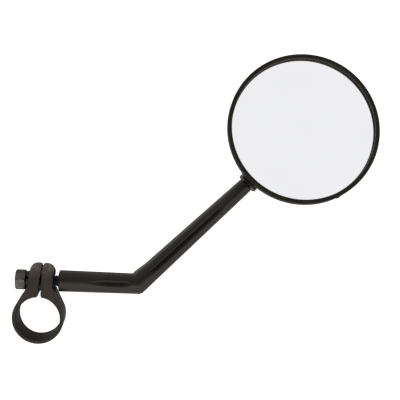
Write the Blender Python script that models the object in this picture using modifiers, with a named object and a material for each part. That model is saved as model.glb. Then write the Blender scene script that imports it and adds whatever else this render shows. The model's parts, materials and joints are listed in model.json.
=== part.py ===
"""Round bicycle mirror on a bent arm with a split bar clamp, in metres, +Z up.

The handlebar runs along Y and the clamp bolt along X; the mirror faces -Y, the front.
The origin is on the clamp's front side face, at the foot of the band and in the middle
of its wall.
"""

import math

import bmesh
import bpy
from mathutils import Matrix, Vector

MM = 0.001

# ---------------------------------------------------------------- clamp
BAR_BORE_R = 11.1 * MM  # for a 22.2 mm handlebar
BAND_R = 13.25 * MM
BAND_WIDTH = 13.0 * MM
BORE_Z = (BAR_BORE_R + BAND_R) / 2
MID_Y = BAND_WIDTH / 2
BOLT_Z = BORE_Z + 18.5 * MM
FLARE = math.radians(32.8)  # where the ears leave the band, above the bar's centre
EAR_X = 6.15 * MM
EAR_HEIGHT = 27.3 * MM  # above the bar's centre
EAR_CROWN = 0.2 * MM  # extra height of the outlines in the middle
EAR_KNEE_FILLET = 5.0 * MM
EAR_TOP_FILLET = 3.6 * MM
EAR_MARGIN = 0.01 * MM  # ear outline beyond the band's side faces
SLIT_TOP_WIDTH = 0.9 * MM
SLIT_FOOT_WIDTH = 2.0 * MM
SLIT_HEIGHTS = (8.0 * MM, 29.0 * MM)  # above the bar's centre
BOLT_HOLE_R = 3.25 * MM
SPOTFACE_R = 5.6 * MM
SPOTFACE_CUT = 6.0 * MM

# ---------------------------------------------------------------- fasteners
# Spans are along X.
STUD_R = 2.9 * MM
STUD_X = (-13.75 * MM, 20.4 * MM)
STUD_BEVEL = 0.6 * MM
WASHER_R = 4.95 * MM
WASHER_BORE_R = 3.15 * MM
WASHER_X = (-7.95 * MM, -6.35 * MM)
WASHER_BEVEL = 0.15 * MM
WASHER_SPLIT_SIZE = (4.2 * MM, 0.7 * MM, 4.2 * MM)
WASHER_SPLIT_Z = -4.6 * MM
WASHER_SPLIT_ANGLE = math.radians(28)
NUT_FLATS = 10.0 * MM
NUT_X = (-13.35 * MM, -8.15 * MM)
NUT_BORE_R = 3.15 * MM
NUT_CORNER_R = NUT_FLATS / math.sqrt(3)
NUT_FACE_R = NUT_FLATS / 2 * 0.955  # round face inside the chamfer
NUT_CHAMFER = math.radians(30)
NUT_TURN = math.radians(-12)

# ---------------------------------------------------------------- arm
ARM_LEAN = math.radians(-22.0)  # turned about the bolt from upright
ARM_START = 9.35 * MM
BEND_X = 49.4 * MM
BEND = math.radians(45.0)
LEG1_R = 5.36 * MM
BEND_R = 5.0 * MM
LEG2_R = 3.82 * MM
LEG1_LENGTH = BEND_X - ARM_START
LEG2_END = 75.3 * MM  # bend to the arm's end
ARM_EASE = 0.7 * MM  # rounding of both ends
BEND_CLEAR = 2.6 * MM  # bend to the nearest round section
SECTION_STEPS = 28
# Hollows along each leg: start, end, lead in, lead out, depth.
LEG1_FLUTE = (13.0 * MM, 38.5 * MM, 16.0 * MM, 3.5 * MM, 0.95 * MM)
LEG2_FLUTE = (6.0 * MM, 62.0 * MM, 22.0 * MM, 6.0 * MM, 0.95 * 0.95 * MM)
INSERT_R = 3.95 * MM
INSERT_LENGTH = 12.0 * MM
INSERT_INSET = 0.15 * MM
INSERT_BEVEL = 0.3 * MM
STUD_CLEARANCE = 0.25 * MM
POCKET_GAP = 0.2 * MM  # round the insert and the shank
POCKET_SPARE = 0.5 * MM  # beyond their ends

# ---------------------------------------------------------------- ball joint
HEAD_AT = 116.0 * MM  # bend to mirror centre
BALL_Z = -35.3 * MM  # from the mirror centre, towards the arm
BALL_R = 2.75 * MM
NECK_R = 1.6 * MM
NECK_BEVEL = 0.4 * MM
ARM_END_Z = LEG2_END - (HEAD_AT + BALL_Z)  # from the ball's centre
SHANK_DEPTH = 10.0 * MM  # inside the arm
# Shells round the ball: inner radius, outer radius, half angle of the opening in degrees.
SEATS = {
    "ball_seat_inner": (2.9 * MM, 3.6 * MM, 38),
    "ball_seat_outer": (3.75 * MM, 4.45 * MM, 44),
}
SOCKET_R = 4.65 * MM

# ---------------------------------------------------------------- head
# Depths are behind the bezel's front plane.
OFFSET = 11.0 * MM  # depth of the arm's axis
HEAD_TURN = math.radians(3.0)  # about the second leg
HEAD_CANT = math.radians(-1.15)  # in the head's own plane, both about the ball
RIM_R = 39.4 * MM
STEP_R = 38.7 * MM  # where bezel and housing are stepped
SIGHT_R = 37.1 * MM  # visible edge of the glass
GLASS_R = 37.85 * MM
GLASS_DEPTH = 2.9 * MM  # of the front face's edge
GLASS_THICK = 2.3 * MM
GLASS_CURVE = 600.0 * MM
BACK_DEPTH = 12.4 * MM  # middle of the housing's back
HOUSING_WALL = 1.5 * MM
DOME_R = 35.2 * MM
DOME_DROP = 1.3 * MM
CORNER_R = 3.2 * MM
FOAM_R = 24.0 * MM
FOAM_BACK_GAP = 0.3 * MM
FOAM_FRONT_GAP = 0.25 * MM

# Head frame: Z along the second leg away from the arm, Y to the rear.
RIB_R = 5.35 * MM
RIB_FRONT_Y = -0.35 * MM
RIB_Z = (-40.6 * MM, -27.0 * MM)
RIB_TRIM_R = 39.32 * MM
SOCKET_Z = (-45.0 * MM, -27.8 * MM)
SCREW_X = 7.3 * MM
SCREW_Y = -2.95 * MM
SCREW_Z = -32.4 * MM
RETAINER_X = 9.4 * MM
RETAINER_Y = (-5.45 * MM, -3.2 * MM)
RETAINER_Z = (-35.8 * MM, -28.6 * MM)
RETAINER_CORNER = 2.2 * MM
TROUGH_Z = -34.0 * MM
SPRING_R = 3.1 * MM
SPRING_WIRE_R = 0.32 * MM
SPRING_Z = (-30.35 * MM, -28.35 * MM)
SPRING_TURNS = 2.25
SPRING_STEPS = 14  # per turn
COLLAR_R = 5.5 * MM
COLLAR_BLANK = 6.0 * MM
COLLAR_Z = -40.0 * MM
COLLAR_OUTER_R = 40.1 * MM  # about the mirror's normal
COLLAR_INNER_R = 39.55 * MM
NECK_HOLE_R = 3.2 * MM
TAB_SIZE = (2.2 * MM, 1.6 * MM, 1.1 * MM)  # along the rim, front to back, radial
TAB_R = 39.3 * MM
TAB_DEPTH = 2.4 * MM
TAB_ANGLE = math.radians(-17.0)  # from the head's X axis; negative is towards the arm

# Lengths of helper solids that pass right through a part.
SHORT_CUT = 20 * MM
MEDIUM_CUT = 30 * MM
LONG_CUT = 40 * MM

X_AXIS = (0.0, math.radians(90), 0.0)  # turns Z onto +X
Y_AXIS = (math.radians(-90), 0.0, 0.0)  # turns Z onto +Y
XZ_PLANE = (math.radians(90), 0.0, 0.0)  # turns Y onto +Z
YZ_PLANE = (math.radians(90), 0.0, math.radians(90))  # turns X onto +Y and Y onto +Z
SIDES = (("left", -1), ("right", 1))

# ================================================================ scene and materials
for old in list(bpy.data.objects):
    bpy.data.objects.remove(old, do_unlink=True)

parts = bpy.data.collections.new("bike_mirror")
cutters = bpy.data.collections.new("cutters")
bpy.context.scene.collection.children.link(parts)
bpy.context.scene.collection.children.link(cutters)


def material(name, colour, roughness, metallic=0.0):
    mat = bpy.data.materials.new(name)
    mat.use_nodes = True
    shader = mat.node_tree.nodes["Principled BSDF"]
    shader.inputs["Base Color"].default_value = (*colour, 1.0)
    shader.inputs["Roughness"].default_value = roughness
    shader.inputs["Metallic"].default_value = metallic
    return mat


BLACK_NYLON = material("black_nylon", colour=(0.018, 0.017, 0.015), roughness=0.5)
ARM_PLASTIC = material("arm_plastic", colour=(0.014, 0.015, 0.014), roughness=0.42)
BEZEL_PLASTIC = material("bezel_plastic", colour=(0.012, 0.012, 0.012), roughness=0.38)
BLACK_ZINC = material("black_zinc", colour=(0.05, 0.05, 0.05), roughness=0.35, metallic=1.0)
STEEL = material("steel", colour=(0.42, 0.42, 0.42), roughness=0.3, metallic=1.0)
BRASS = material("brass", colour=(0.6, 0.43, 0.17), roughness=0.35, metallic=1.0)
MIRROR = material("silvered_glass", colour=(0.85, 0.85, 0.87), roughness=0.03, metallic=1.0)
RUBBER = material("rubber", colour=(0.02, 0.02, 0.02), roughness=0.8)
FOAM = material("foam", colour=(0.12, 0.12, 0.12), roughness=0.95)
SEAT_PLASTIC = material("acetal", colour=(0.6, 0.6, 0.56), roughness=0.45)


# ================================================================ objects
def empty(name, parent=None, location=(0, 0, 0), rotation=(0, 0, 0)):
    obj = bpy.data.objects.new(name, None)
    obj.empty_display_size = 0.01
    obj.parent = parent
    obj.location = location
    obj.rotation_euler = rotation
    parts.objects.link(obj)
    return obj


def place(name, data, mat=None, parent=None, location=(0, 0, 0), rotation=(0, 0, 0)):
    """A part, or a hidden helper when it has no material."""
    data.name = name
    obj = bpy.data.objects.new(name, data)
    obj.parent = parent
    obj.location = location
    obj.rotation_euler = rotation
    if mat is None:
        cutters.objects.link(obj)
        obj.hide_render = True
        obj.display_type = "WIRE"
    else:
        data.materials.clear()
        data.materials.append(mat)
        parts.objects.link(obj)
    return obj


def combine(target, operation, name, mesh, **placing):
    """Place a helper solid and apply it to the target by a boolean modifier."""
    helper = place(name, mesh, **placing)
    modifier = target.modifiers.new(name, "BOOLEAN")
    modifier.operation = operation
    modifier.solver = "EXACT"
    modifier.object = helper
    return helper


def cut(target, name, mesh, **placing):
    combine(target, "DIFFERENCE", name, mesh, **placing)


# ================================================================ meshes
def smooth(mesh, angle=35.0):
    mesh.shade_smooth()
    mesh.set_sharp_from_angle(angle=math.radians(angle))


def mesh_from(bm):
    mesh = bpy.data.meshes.new("mesh")
    bm.to_mesh(mesh)
    bm.free()
    return mesh


def blank(data):
    """A temporary object, to be turned into a mesh by baked()."""
    obj = bpy.data.objects.new("blank", data)
    bpy.context.scene.collection.objects.link(obj)
    return obj


def baked(obj):
    """The object's evaluated mesh, welded and smoothed; the object is removed."""
    graph = bpy.context.evaluated_depsgraph_get()
    mesh = bpy.data.meshes.new_from_object(obj.evaluated_get(graph))
    bpy.data.objects.remove(obj, do_unlink=True)
    bm = bmesh.new()
    bm.from_mesh(mesh)
    bmesh.ops.remove_doubles(bm, verts=bm.verts, dist=1e-7)
    bmesh.ops.recalc_face_normals(bm, faces=bm.faces)
    bm.to_mesh(mesh)
    bm.free()
    smooth(mesh)
    return mesh


def turned(profile, steps):
    """A solid of revolution about Z from a (radius, height) outline.

    An outline that starts and ends on the axis is left open there.
    """
    count = len(profile)
    edges = [(i, i + 1) for i in range(count - 1)]
    if profile[0][0] > 1e-9 or profile[-1][0] > 1e-9:
        edges.append((count - 1, 0))
    mesh = bpy.data.meshes.new("profile")
    mesh.from_pydata([(r, 0.0, z) for r, z in profile], edges, [])
    obj = blank(mesh)
    screw = obj.modifiers.new("Screw", "SCREW")
    screw.axis = "Z"
    screw.steps = steps
    screw.render_steps = steps
    screw.use_merge_vertices = True
    screw.merge_threshold = 0.000001
    screw.use_smooth_shade = True
    return baked(obj)


def prism(outline, depth):
    """A flat outline in XY, extruded half of depth to each side along Z."""
    curve = bpy.data.curves.new("outline", "CURVE")
    curve.dimensions = "2D"
    curve.fill_mode = "BOTH"
    curve.extrude = depth / 2
    spline = curve.splines.new("POLY")
    spline.points.add(len(outline) - 1)
    for point, (x, y) in zip(spline.points, outline):
        point.co = (x, y, 0.0, 1.0)
    spline.use_cyclic_u = True
    return baked(blank(curve))


def cylinder(radius, length, steps):
    """A cylinder about Z, centred on the origin."""
    bm = bmesh.new()
    bmesh.ops.create_cone(
        bm, cap_ends=True, segments=steps, radius1=radius, radius2=radius, depth=length
    )
    return mesh_from(bm)


def box(size):
    bm = bmesh.new()
    bmesh.ops.create_cube(bm, size=1.0)
    bmesh.ops.scale(bm, vec=size, verts=bm.verts)
    return mesh_from(bm)


# ================================================================ outlines
def span(limits):
    return limits[1] - limits[0]


def middle(limits):
    return sum(limits) / 2


def in_mm(table):
    """The table's millimetres in metres."""
    return [tuple(value * MM for value in row) for row in table]


def arc(radius, start, end, steps, centre=(0.0, 0.0), height=None):
    """Points on a circle, or on an ellipse when its other half axis is given as height."""
    if height is None:
        height = radius
    angles = [start + (end - start) * k / steps for k in range(steps + 1)]
    return [(centre[0] + radius * math.cos(a), centre[1] + height * math.sin(a)) for a in angles]


def filleted(corners, radii, steps=8):
    """The outline with an arc of the given radius at each corner."""
    outline = []
    for i, (point, radius) in enumerate(zip(corners, radii)):
        corner = Vector(point)
        if radius <= 0:
            outline.append(tuple(corner))
            continue
        before = (Vector(corners[i - 1]) - corner).normalized()
        after = (Vector(corners[(i + 1) % len(corners)]) - corner).normalized()
        half = before.angle(after) / 2
        reach = radius / math.tan(half)
        centre = corner + (before + after).normalized() * (radius / math.sin(half))
        start = corner + before * reach - centre
        end = corner + after * reach - centre
        turn = math.atan2(start.x * end.y - start.y * end.x, start.dot(end))
        for k in range(steps + 1):
            c = math.cos(turn * k / steps)
            s = math.sin(turn * k / steps)
            outline.append(
                (centre.x + c * start.x - s * start.y, centre.y + s * start.x + c * start.y)
            )
    return outline


def bevelled_ring(inner, outer, length, bevel):
    """Profile of a ring whose outer edges are bevelled."""
    end = length / 2
    return [
        (outer - bevel, end),
        (outer, end - bevel),
        (outer, -end + bevel),
        (outer - bevel, -end),
        (inner, -end),
        (inner, end),
    ]


def bevelled_rod(radius, length, end_radius, bevel):
    """Profile of a rod narrowed to end_radius over the length bevel at each end."""
    end = length / 2
    return [
        (0, end),
        (end_radius, end),
        (radius, end - bevel),
        (radius, -end + bevel),
        (end_radius, -end),
        (0, -end),
    ]


# ================================================================ clamp band
def band_outline():
    """The clamp seen along the bar: a round band with two flared ears."""
    foot = Vector((math.cos(FLARE), math.sin(FLARE))) * BAND_R
    slope = Vector((-math.sin(FLARE), math.cos(FLARE)))
    knee = foot + slope * ((foot.x - EAR_X) / -slope.x)
    ear = filleted(
        [tuple(foot), tuple(knee), (EAR_X, EAR_HEIGHT), (0.0, EAR_HEIGHT + EAR_CROWN)],
        [0, EAR_KNEE_FILLET, EAR_TOP_FILLET, 0],
    )
    right = arc(BAND_R, -math.pi / 2, FLARE, 26) + ear[1:]
    left = [(-x, z) for x, z in reversed(right[1:-1])]
    return right + left


def ear_outline():
    """The band seen along the bolt: straight sides under a round top."""
    half = BAND_WIDTH / 2
    side = half + EAR_MARGIN
    foot = -BAND_R - 2 * MM
    top = arc(
        side, 0, math.pi, 24, centre=(0.0, EAR_HEIGHT - half), height=half + EAR_CROWN
    )
    return [(-side, foot), (side, foot)] + top


at_bore = {"location": (0, MID_Y, BORE_Z)}
clamp_band = place(
    "clamp_band", prism(band_outline(), BAND_WIDTH), BLACK_NYLON, rotation=XZ_PLANE, **at_bore
)
combine(
    clamp_band,
    "INTERSECT",
    "ear_round",
    prism(ear_outline(), LONG_CUT),
    rotation=YZ_PLANE,
    **at_bore,
)
cut(
    clamp_band,
    "bar_bore_cut",
    cylinder(BAR_BORE_R, MEDIUM_CUT, 60),
    rotation=Y_AXIS,
    **at_bore,
)
slit_outline = [
    (-SLIT_FOOT_WIDTH / 2, SLIT_HEIGHTS[0]),
    (SLIT_FOOT_WIDTH / 2, SLIT_HEIGHTS[0]),
    (SLIT_TOP_WIDTH / 2, SLIT_HEIGHTS[1]),
    (-SLIT_TOP_WIDTH / 2, SLIT_HEIGHTS[1]),
]
cut(clamp_band, "slit_cut", prism(slit_outline, MEDIUM_CUT), rotation=XZ_PLANE, **at_bore)
cut(
    clamp_band,
    "bolt_cut",
    cylinder(BOLT_HOLE_R, MEDIUM_CUT, 32),
    location=(0, MID_Y, BOLT_Z),
    rotation=X_AXIS,
)
for side, sign in SIDES:
    cut(
        clamp_band,
        "spotface_" + side,
        cylinder(SPOTFACE_R, SPOTFACE_CUT, 40),
        location=(sign * (EAR_X + SPOTFACE_CUT / 2), MID_Y, BOLT_Z),
        rotation=X_AXIS,
    )

# ================================================================ fasteners on the bolt axis
bolt_axis = empty("bolt_axis", location=(0, MID_Y, BOLT_Z))

# ---------------------------------------------------------------- split lock washer
lock_washer = place(
    "lock_washer",
    turned(bevelled_ring(WASHER_BORE_R, WASHER_R, span(WASHER_X), WASHER_BEVEL), 36),
    BLACK_ZINC,
    parent=bolt_axis,
    location=(middle(WASHER_X), 0, 0),
    rotation=X_AXIS,
)
cut(
    lock_washer,
    "washer_split",
    box(WASHER_SPLIT_SIZE),
    parent=bolt_axis,
    location=(middle(WASHER_X), 0, WASHER_SPLIT_Z),
    rotation=(0, 0, WASHER_SPLIT_ANGLE),
)

# ---------------------------------------------------------------- nut
at_nut = {"parent": bolt_axis, "location": (middle(NUT_X), 0, 0)}
hex_nut = place("hex_nut", cylinder(NUT_CORNER_R, span(NUT_X), 6), BLACK_ZINC, **at_nut)
# A corner of the hexagon faces forward and 12 degrees up.
hex_nut.rotation_mode = "QUATERNION"
hex_nut.rotation_quaternion = (
    Matrix.Rotation(NUT_TURN, 4, "X") @ Matrix.Rotation(math.radians(90), 4, "Y")
).to_quaternion()
# The corners are turned down at both faces.
chamfer_r = NUT_CORNER_R + 0.5 * MM
chamfer_length = (chamfer_r - NUT_FACE_R) * math.tan(NUT_CHAMFER)
combine(
    hex_nut,
    "INTERSECT",
    "nut_chamfer",
    turned(bevelled_rod(chamfer_r, span(NUT_X), NUT_FACE_R, chamfer_length), 36),
    rotation=X_AXIS,
    **at_nut,
)
cut(hex_nut, "nut_bore", cylinder(NUT_BORE_R, SHORT_CUT, 32), rotation=X_AXIS, **at_nut)

# ---------------------------------------------------------------- stud
place(
    "clamp_stud",
    turned(bevelled_rod(STUD_R, span(STUD_X), STUD_R - STUD_BEVEL, STUD_BEVEL), 32),
    BLACK_ZINC,
    parent=bolt_axis,
    location=(middle(STUD_X), 0, 0),
    rotation=X_AXIS,
)

# ================================================================ arm
# The first leg runs along X from the clamp; the second turns up from it at the bend.
arm_pivot = empty("arm_pivot", location=(0, MID_Y, BOLT_Z), rotation=(ARM_LEAN, 0, 0))
LEG1 = Vector((1, 0, 0))
LEG2 = Vector((math.cos(BEND), 0.0, math.sin(BEND)))
BEND_POINT = LEG1 * BEND_X


def eased(value):
    value = min(max(value, 0.0), 1.0)
    return value * value * (3 - 2 * value)


def flute_depth(along, flute):
    """Depth of the spoon-shaped hollow at this distance along the leg."""
    start, end, lead_in, lead_out, depth = flute
    return depth * eased((along - start) / lead_in) * eased((end - along) / lead_out)


def arm_ring(centre, up, radius, depth=0.0):
    """Points round the leg, hollowed by depth on its front and rear faces."""
    points = []
    for k in range(SECTION_STEPS):
        angle = 2 * math.pi * k / SECTION_STEPS
        sideways = math.sin(angle)
        r = radius - depth * eased((abs(sideways) - 0.5) / 0.42)
        points.append(centre + up * (r * math.cos(angle)) + Vector((0, r * sideways, 0)))
    return points


def arm_rings():
    up1 = Vector((0, 0, 1))
    up2 = Vector((-math.sin(BEND), 0, math.cos(BEND)))
    rings = []
    for angle in (0, 45, 90):
        turn = math.radians(angle)
        along = ARM_EASE * (1 - math.cos(turn))
        radius = LEG1_R - ARM_EASE * (1 - math.sin(turn))
        rings.append(arm_ring(LEG1 * (ARM_START + along), up1, radius))
    count = 10
    for k in range(1, count + 1):
        along = ARM_EASE + (LEG1_LENGTH - BEND_CLEAR - ARM_EASE) * k / count
        radius = LEG1_R + (BEND_R - LEG1_R) * along / LEG1_LENGTH
        depth = flute_depth(along, LEG1_FLUTE)
        rings.append(arm_ring(LEG1 * (ARM_START + along), up1, radius, depth))
    mitre = Vector((-math.tan(BEND / 2), 0, 1))
    rings.append(arm_ring(BEND_POINT, mitre, BEND_R))
    count = 15
    for k in range(count + 1):
        along = BEND_CLEAR + (LEG2_END - ARM_EASE - BEND_CLEAR) * k / count
        radius = BEND_R + (LEG2_R - BEND_R) * along / LEG2_END
        depth = flute_depth(along, LEG2_FLUTE)
        rings.append(arm_ring(BEND_POINT + LEG2 * along, up2, radius, depth))
    for angle in (45, 90):
        turn = math.radians(angle)
        along = LEG2_END - ARM_EASE * (1 - math.sin(turn))
        radius = LEG2_R - ARM_EASE * (1 - math.cos(turn))
        rings.append(arm_ring(BEND_POINT + LEG2 * along, up2, radius))
    return rings


def arm_mesh():
    bm = bmesh.new()
    loops = [[bm.verts.new(point) for point in ring] for ring in arm_rings()]
    for first, second in zip(loops, loops[1:]):
        for k in range(SECTION_STEPS):
            j = (k + 1) % SECTION_STEPS
            bm.faces.new((first[k], first[j], second[j], second[k]))
    bm.faces.new(loops[0])
    bm.faces.new(list(reversed(loops[-1])))
    bmesh.ops.recalc_face_normals(bm, faces=bm.faces)
    mesh = mesh_from(bm)
    smooth(mesh, 40)
    return mesh


arm_bar = place("arm_bar", arm_mesh(), ARM_PLASTIC, parent=arm_pivot)
cut(
    arm_bar,
    "insert_pocket",
    cylinder(INSERT_R + POCKET_GAP, 2 * (INSERT_LENGTH + POCKET_SPARE), 40),
    parent=arm_pivot,
    location=(ARM_START, 0, 0),
    rotation=X_AXIS,
)
place(
    "threaded_insert",
    turned(bevelled_ring(STUD_R + STUD_CLEARANCE, INSERT_R, INSERT_LENGTH, INSERT_BEVEL), 32),
    BRASS,
    parent=arm_pivot,
    location=(ARM_START + INSERT_INSET + INSERT_LENGTH / 2, 0, 0),
    rotation=X_AXIS,
)

# ================================================================ ball joint
# Its Z axis runs along the second leg, away from the arm.
ball_centre = empty(
    "ball_centre",
    parent=arm_pivot,
    location=BEND_POINT + LEG2 * (HEAD_AT + BALL_Z),
    rotation=(0, math.pi / 2 - BEND, 0),
)
cut(
    arm_bar,
    "shank_pocket",
    cylinder(NECK_R + POCKET_GAP, 2 * (SHANK_DEPTH + POCKET_SPARE), 32),
    parent=ball_centre,
    location=(0, 0, ARM_END_Z),
)


def ball_profile():
    """A ball on a straight shank that ends inside the arm."""
    meet = math.acos(NECK_R / BALL_R)
    shank_end = ARM_END_Z - SHANK_DEPTH
    return [
        (0.0, BALL_R),
        *arc(BALL_R, math.pi / 2, -meet, 10)[1:],
        (NECK_R, shank_end + NECK_BEVEL),
        (NECK_R - NECK_BEVEL, shank_end),
        (0.0, shank_end),
    ]


def cup_profile(inner, outer, opening):
    """A spherical shell open at its foot by this half angle in degrees."""
    top = math.pi / 2
    lip = -top + math.radians(opening)
    outside = arc(outer, top, lip, 8)[1:]
    inside = arc(inner, lip, top, 8)[:-1]
    return [(0.0, outer)] + outside + inside + [(0.0, inner)]


place("ball_stud", turned(ball_profile(), 24), STEEL, parent=ball_centre)
for name, seat in SEATS.items():
    place(name, turned(cup_profile(*seat), 20), SEAT_PLASTIC, parent=ball_centre)

# ================================================================ head
# Origin on the arm's axis behind the mirror's centre.
head_turn = empty("head_turn", parent=ball_centre, rotation=(0, HEAD_CANT, HEAD_TURN))
head = empty("head", parent=head_turn, location=(0, 0, -BALL_Z))


def head_shell(name, outline, steps, mat):
    """A part turned about the mirror's normal from (radius, depth) points."""
    profile = [(r, depth - OFFSET) for r, depth in outline]
    return place(name, turned(profile, steps), mat, parent=head, rotation=Y_AXIS)


def across(radius, steps, depth_at):
    """(radius, depth) points of a curved face, from its middle outwards."""
    radii = [radius * k / steps for k in range(steps + 1)]
    return [(r, depth_at(r)) for r in radii]


def dome(r, centre):
    """Depth of a face parallel to the housing's back, from its depth in the middle."""
    return centre - DOME_DROP * (r / DOME_R) ** 2


# ---------------------------------------------------------------- housing
def housing_outline():
    """From the middle of the back round the rim and back along the inside."""
    inner_depth = BACK_DEPTH - HOUSING_WALL
    corner = (DOME_R, BACK_DEPTH - DOME_DROP - CORNER_R)
    upright = math.pi / 2
    outside = across(DOME_R, 4, lambda r: dome(r, BACK_DEPTH))
    outside += arc(CORNER_R, upright, math.radians(6), 4, corner)[1:]
    rim = [
        (39.15 * MM, 4.95 * MM),
        (STEP_R, 4.95 * MM),
        (STEP_R, 5.55 * MM),
        (37.5 * MM, 5.55 * MM),
        (36.9 * MM, 8.2 * MM),
    ]
    inside = arc(CORNER_R - HOUSING_WALL, math.radians(10), upright, 2, corner)
    inside += across(DOME_R, 4, lambda r: dome(r, inner_depth))[-2::-1]
    return outside + rim + inside


head_housing = head_shell("head_housing", housing_outline(), 56, BEZEL_PLASTIC)

# A half-round rib on the back, over the ball socket.
rib_outline = [(-RIB_R, RIB_FRONT_Y), (RIB_R, RIB_FRONT_Y)] + arc(RIB_R, 0, math.pi, 24)
socket_rib = combine(
    head_housing,
    "UNION",
    "socket_rib",
    prism(rib_outline, span(RIB_Z)),
    parent=head,
    location=(0, 0, middle(RIB_Z)),
)
combine(
    socket_rib,
    "INTERSECT",
    "rib_trim",
    cylinder(RIB_TRIM_R, LONG_CUT, 144),
    parent=head,
    rotation=Y_AXIS,
)


def on_screw_axis(target, operation, name, sign, radius, y_limits, steps=24):
    """Apply a cylinder about one retainer screw's axis."""
    combine(
        target,
        operation,
        name,
        cylinder(radius, span(y_limits), steps),
        parent=head,
        location=(sign * SCREW_X, middle(y_limits), SCREW_Z),
        rotation=Y_AXIS,
    )


COLUMN_Y = (-2.9 * MM, 0.0)
for side, sign in SIDES:
    name = "screw_column_" + side
    on_screw_axis(head_housing, "UNION", name, sign, 2.3 * MM, COLUMN_Y, steps=20)
cut(
    head_housing,
    "socket_bore",
    cylinder(SOCKET_R, span(SOCKET_Z), 48),
    parent=head,
    location=(0, 0, middle(SOCKET_Z)),
)
PILOT_Y = (-5.55 * MM, -0.35 * MM)
for side, sign in SIDES:
    on_screw_axis(head_housing, "DIFFERENCE", "pilot_" + side, sign, 1.3 * MM, PILOT_Y)

# ---------------------------------------------------------------- socket retainer
retainer_corners = [
    (-RETAINER_X, RETAINER_Z[0]),
    (RETAINER_X, RETAINER_Z[0]),
    (RETAINER_X, RETAINER_Z[1]),
    (-RETAINER_X, RETAINER_Z[1]),
]
retainer = place(
    "socket_retainer",
    prism(filleted(retainer_corners, [RETAINER_CORNER] * 4), span(RETAINER_Y)),
    SEAT_PLASTIC,
    parent=head,
    location=(0, middle(RETAINER_Y), 0),
    rotation=XZ_PLANE,
)
cut(
    retainer,
    "retainer_trough",
    cylinder(SOCKET_R, MEDIUM_CUT, 48),
    parent=head,
    location=(0, 0, TROUGH_Z),
)
# Name, radius and Y limits.
RETAINER_CUTS = (
    ("hole", 1.35 * MM, (-6.0 * MM, -2.0 * MM)),
    ("recess", 2.4 * MM, (-6.5 * MM, -4.3 * MM)),
)
for side, sign in SIDES:
    for what, radius, y_limits in RETAINER_CUTS:
        name = "retainer_%s_%s" % (what, side)
        on_screw_axis(retainer, "DIFFERENCE", name, sign, radius, y_limits)

# ---------------------------------------------------------------- retainer screws
# Pan head at the front, shank to the rear: radius, height along the axis, in mm.
SCREW_PROFILE = [
    (0, 2.3), (0.35, 2.3), (1.05, 1.6), (1.05, -1.5),
    (2.1, -1.5), (2.1, -2.1), (1.6, -2.55), (0, -2.6),
]
for number, sign in ((1, -1), (2, 1)):
    place(
        "retainer_screw_%d" % number,
        turned(in_mm(SCREW_PROFILE), 20),
        STEEL,
        parent=head,
        location=(sign * SCREW_X, SCREW_Y, SCREW_Z),
        rotation=Y_AXIS,
    )


# ---------------------------------------------------------------- spring that loads the seats
def spring_curve():
    curve = bpy.data.curves.new("spring", "CURVE")
    curve.dimensions = "3D"
    curve.bevel_depth = SPRING_WIRE_R
    curve.bevel_resolution = 2
    curve.use_fill_caps = True
    count = int(SPRING_TURNS * SPRING_STEPS)
    spline = curve.splines.new("POLY")
    spline.points.add(count)
    for k, point in enumerate(spline.points):
        angle = 2 * math.pi * SPRING_TURNS * k / count
        z = SPRING_Z[0] + span(SPRING_Z) * k / count
        point.co = (SPRING_R * math.cos(angle), SPRING_R * math.sin(angle), z, 1.0)
    return curve


place("friction_spring", spring_curve(), STEEL, parent=head)

# ---------------------------------------------------------------- collar between rim and arm
at_collar = {"parent": head, "location": (0, 0, COLLAR_Z)}
socket_collar = place(
    "socket_collar", cylinder(COLLAR_R, COLLAR_BLANK, 48), RUBBER, **at_collar
)
for name, radius, operation in (
    ("collar_outer", COLLAR_OUTER_R, "INTERSECT"),
    ("collar_inner", COLLAR_INNER_R, "DIFFERENCE"),
):
    mesh = cylinder(radius, LONG_CUT, 120)
    combine(socket_collar, operation, name, mesh, parent=head, rotation=Y_AXIS)
cut(socket_collar, "neck_hole", cylinder(NECK_HOLE_R, SHORT_CUT, 40), **at_collar)

# ---------------------------------------------------------------- bezel
bezel_outline = [
    (SIGHT_R + 0.35 * MM, 0.0),
    (SIGHT_R, 0.35 * MM),
    (SIGHT_R, 2.6 * MM),
    (STEP_R, 2.6 * MM),
    (STEP_R, 4.6 * MM),
    (RIM_R - 0.05 * MM, 4.6 * MM),
    (RIM_R, 4.3 * MM),
    (RIM_R, 0.8 * MM),
    (RIM_R - 0.25 * MM, 0.25 * MM),
    (RIM_R - 0.75 * MM, 0.0),
]
bezel_ring = head_shell("bezel_ring", bezel_outline, 80, BEZEL_PLASTIC)
# A small pry tab on the rim.
combine(
    bezel_ring,
    "UNION",
    "pry_tab",
    box(TAB_SIZE),
    parent=head,
    location=(TAB_R * math.cos(TAB_ANGLE), TAB_DEPTH - OFFSET, TAB_R * math.sin(TAB_ANGLE)),
    rotation=(0, math.pi / 2 - TAB_ANGLE, 0),
)


# ---------------------------------------------------------------- glass, seal and foam
def sag(r):
    return r * r / (2 * GLASS_CURVE)


def glass_front(r):
    """Depth of the glass's front face, which bulges forward."""
    return GLASS_DEPTH - sag(GLASS_R) + sag(r)


def glass_back(r):
    return glass_front(r) + GLASS_THICK


glass_outline = across(GLASS_R, 3, glass_back) + across(GLASS_R, 3, glass_front)[::-1]
head_shell("mirror_glass", glass_outline, 56, MIRROR)

# Radius, depth in mm.
SEAL_OUTLINE = [(38.5, 5.3), (38.5, 2.9), (38.05, 2.9), (38.05, 5.3)]
head_shell("glass_seal", in_mm(SEAL_OUTLINE), 56, RUBBER)

foam_back_depth = BACK_DEPTH - HOUSING_WALL - FOAM_BACK_GAP
foam_back = across(FOAM_R, 3, lambda r: dome(r, foam_back_depth))
foam_front = across(FOAM_R, 3, lambda r: glass_back(r) + FOAM_FRONT_GAP)
head_shell("foam_pad", foam_back + foam_front[::-1], 32, FOAM)
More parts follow.
